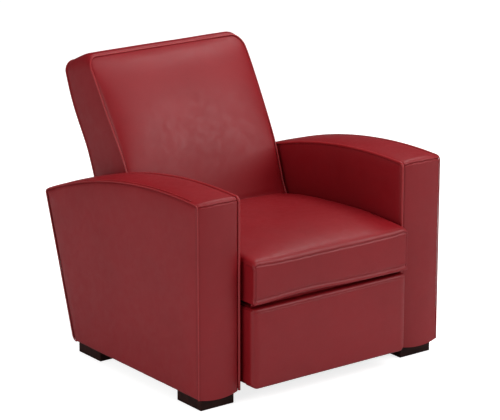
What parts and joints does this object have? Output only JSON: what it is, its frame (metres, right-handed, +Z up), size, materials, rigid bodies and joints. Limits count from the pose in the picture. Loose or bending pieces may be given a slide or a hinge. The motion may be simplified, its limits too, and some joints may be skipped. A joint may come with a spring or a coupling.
{
  "type": "cinema recliner seat",
  "caption": "Leather club armchair with arched boxed arms, block feet, a swing-out powered footrest panel and a powered reclining back.",
  "frame": {"origin": "on the floor, under the middle of the chair's bounding box", "axes": "+X to the sitter's left, -Y the way the sitter faces, +Z up"},
  "size_m": [0.914, 0.986, 0.903],
  "materials": {
    "red_leather": "smooth grain, satin",
    "dark_wood": "espresso stain, satin lacquer",
    "frame_wood": "bare, sawn",
    "black_steel": "black powder coat",
    "zinc_steel": "zinc plated",
    "spring_steel": "oiled",
    "webbing": "woven elastic",
    "black_plastic": "fine texture",
    "button_plastic": "satin"
  },
  "bodies": {
    "chair": {"back_actuator": "black_plastic", "footrest_actuator": "black_plastic", "frame_studs": "zinc_steel", "front_cross_tube": "black_steel", "left_arm_band": "red_leather", "left_arm_frame": "frame_wood", "left_arm_inner_cover": "red_leather", "left_arm_outer_cover": "red_leather", "left_front_foot": "dark_wood", "left_rear_foot": "dark_wood", "left_seat_rail": "frame_wood", "left_side_plate": "black_steel", "power_inlet": "black_plastic", "rear_cross_tube": "black_steel", "rear_valance": "red_leather", "right_arm_band": "red_leather", "right_arm_frame": "frame_wood", "right_arm_inner_cover": "red_leather", "right_arm_outer_cover": "red_leather", "right_front_foot": "dark_wood", "right_rear_foot": "dark_wood", "right_seat_rail": "frame_wood", "right_side_plate": "black_steel", "seat_cushion": "red_leather", "seat_front_rail": "frame_wood", "seat_rear_rail": "frame_wood", "seat_springs": "spring_steel", "switch_plate": "black_plastic"},
    "footrest_crank": {"left_front_link": "black_steel", "right_front_link": "black_steel", "drive_tube": "black_steel"},
    "left_rear_crank": {"left_rear_link": "black_steel"},
    "right_rear_crank": {"right_rear_link": "black_steel"},
    "carrier": {"left_carrier_link": "black_steel", "right_carrier_link": "black_steel", "carrier_cross_tube": "black_steel"},
    "left_guide": {"left_guide_link": "black_steel"},
    "right_guide": {"right_guide_link": "black_steel"},
    "footrest": {"left_footrest_bracket": "black_steel", "right_footrest_bracket": "black_steel", "footrest_board": "frame_wood", "footrest_pad": "red_leather"},
    "footrest_rod": {"footrest_actuator_rod": "zinc_steel"},
    "back": {"left_back_stile": "frame_wood", "right_back_stile": "frame_wood", "back_top_rail": "frame_wood", "back_bottom_rail": "frame_wood", "back_webbing": "webbing", "back_pad": "red_leather", "back_boxing": "red_leather", "back_rear_panel": "red_leather", "left_back_bracket": "black_steel", "right_back_bracket": "black_steel", "back_drive_arm": "black_steel"},
    "back_rod": {"back_actuator_rod": "zinc_steel"},
    "footrest_out_button_body": {"footrest_out_button": "button_plastic"},
    "footrest_in_button_body": {"footrest_in_button": "button_plastic"},
    "back_down_button_body": {"back_down_button": "button_plastic"},
    "back_up_button_body": {"back_up_button": "button_plastic"}
  },
  "joints": [
    {"name": "footrest_swing", "type": "hinge", "parent": "chair", "child": "footrest_crank", "pos_m": [0, -0.394, 0.284], "axis": [-1, 0, 0], "range_deg": [0, 90]},
    {"name": "left_rear_link_turn", "type": "hinge", "parent": "chair", "child": "left_rear_crank", "pos_m": [0.274, -0.348, 0.252], "axis": [-1, 0, 0], "range_deg": [0, 90]},
    {"name": "right_rear_link_turn", "type": "hinge", "parent": "chair", "child": "right_rear_crank", "pos_m": [-0.274, -0.348, 0.252], "axis": [-1, 0, 0], "range_deg": [0, 90]},
    {"name": "carrier_turn", "type": "hinge", "parent": "footrest_crank", "child": "carrier", "pos_m": [0, -0.36547, 0.08099], "axis": [-1, 0, 0], "range_deg": [-90, 0]},
    {"name": "left_guide_turn", "type": "hinge", "parent": "footrest_crank", "child": "left_guide", "pos_m": [0.267, -0.378, 0.17012], "axis": [-1, 0, 0], "range_deg": [-90, 0]},
    {"name": "right_guide_turn", "type": "hinge", "parent": "footrest_crank", "child": "right_guide", "pos_m": [-0.267, -0.378, 0.17012], "axis": [-1, 0, 0], "range_deg": [-90, 0]},
    {"name": "footrest_tilt", "type": "hinge", "parent": "carrier", "child": "footrest", "pos_m": [0, -0.42547, 0.176], "axis": [-1, 0, 0], "range_deg": [0, 90]},
    {"name": "footrest_rod_slide", "type": "slide", "parent": "chair", "child": "footrest_rod", "axis": [0, -1, 0], "range_m": [0, 0.07978]},
    {"name": "back_recline", "type": "hinge", "parent": "chair", "child": "back", "pos_m": [0, 0.191, 0.415], "axis": [-1, 0, 0], "range_deg": [0, 35]},
    {"name": "back_rod_slide", "type": "slide", "parent": "chair", "child": "back_rod", "axis": [0, -1, 0], "range_m": [0, 0.11627]},
    {"name": "footrest_out_press", "type": "slide", "parent": "chair", "child": "footrest_out_button_body", "axis": [-1, 0, 0], "range_m": [0, 0.0015], "stiffness_N_per_m": 400},
    {"name": "footrest_in_press", "type": "slide", "parent": "chair", "child": "footrest_in_button_body", "axis": [-1, 0, 0], "range_m": [0, 0.0015], "stiffness_N_per_m": 400},
    {"name": "back_down_press", "type": "slide", "parent": "chair", "child": "back_down_button_body", "axis": [-1, 0, 0], "range_m": [0, 0.0015], "stiffness_N_per_m": 400},
    {"name": "back_up_press", "type": "slide", "parent": "chair", "child": "back_up_button_body", "axis": [-1, 0, 0], "range_m": [0, 0.0015], "stiffness_N_per_m": 400}
  ],
  "couplings": [
    {"joint": "left_rear_link_turn", "follows": "footrest_swing", "ratio": 1},
    {"joint": "right_rear_link_turn", "follows": "footrest_swing", "ratio": 1},
    {"joint": "carrier_turn", "follows": "footrest_swing", "ratio": -1},
    {"joint": "left_guide_turn", "follows": "footrest_swing", "ratio": -1},
    {"joint": "right_guide_turn", "follows": "footrest_swing", "ratio": -1},
    {"joint": "footrest_tilt", "follows": "footrest_swing", "ratio": 1},
    {"joint": "footrest_rod_slide", "follows": "footrest_swing", "m_per_rad": 0.049517},
    {"joint": "back_rod_slide", "follows": "back_recline", "m_per_rad": 0.18706}
  ]
}
